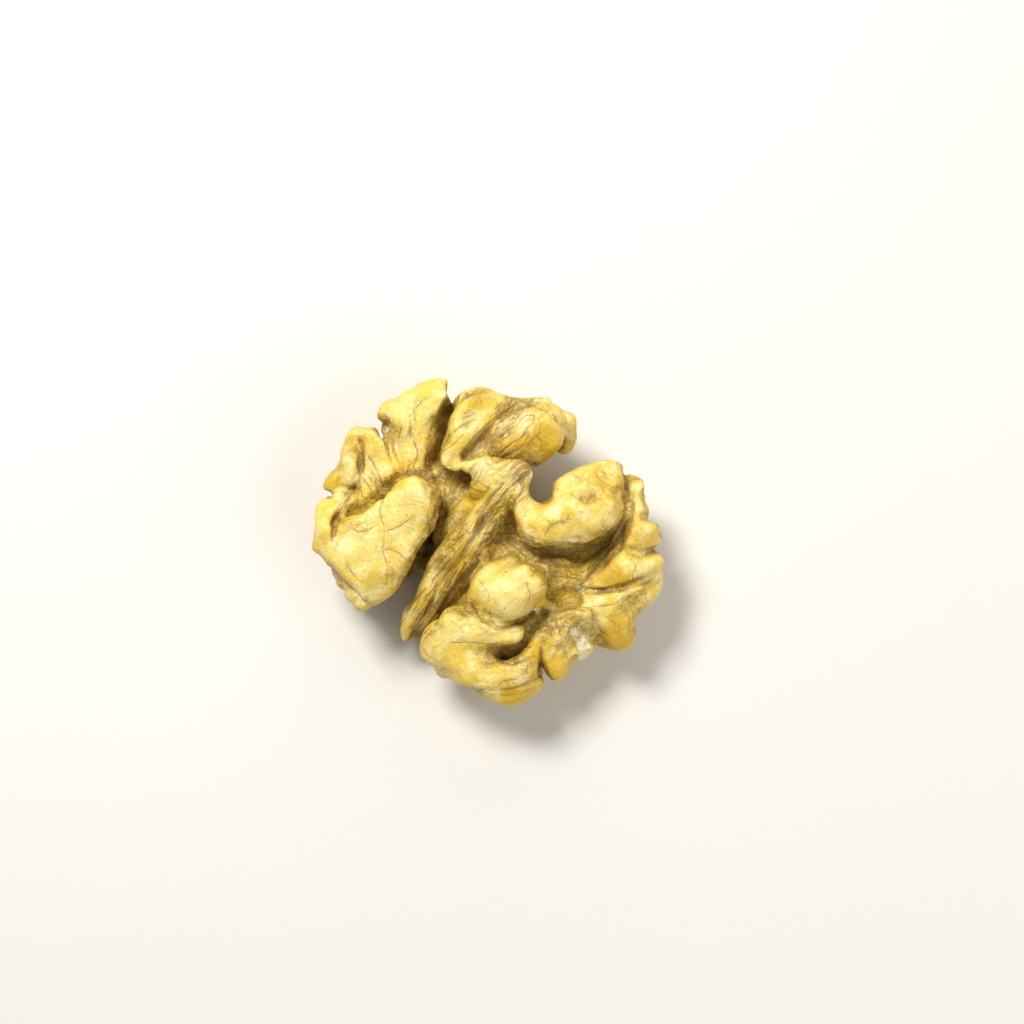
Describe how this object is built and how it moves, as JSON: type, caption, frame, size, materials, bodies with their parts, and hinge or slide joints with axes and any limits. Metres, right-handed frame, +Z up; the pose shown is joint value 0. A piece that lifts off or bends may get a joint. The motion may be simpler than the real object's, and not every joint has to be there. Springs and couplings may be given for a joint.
{
  "type": "walnut kernel",
  "caption": "Shelled walnut half lying on its ridged, rounded back, with its deeply folded inner face up and clefts between its two lobes.",
  "frame": {"origin": "the middle of the kernel's box, on the plane that its lowest folds rest on", "axes": "+Z up out of the inner face, +X to the right across both lobes, +Y to the upper edge"},
  "size_m": [0.0314, 0.0292, 0.0124],
  "materials": {
    "kernel": "satin"
  },
  "bodies": {
    "root": {"kernel": "kernel"}
  },
  "joints": []
}
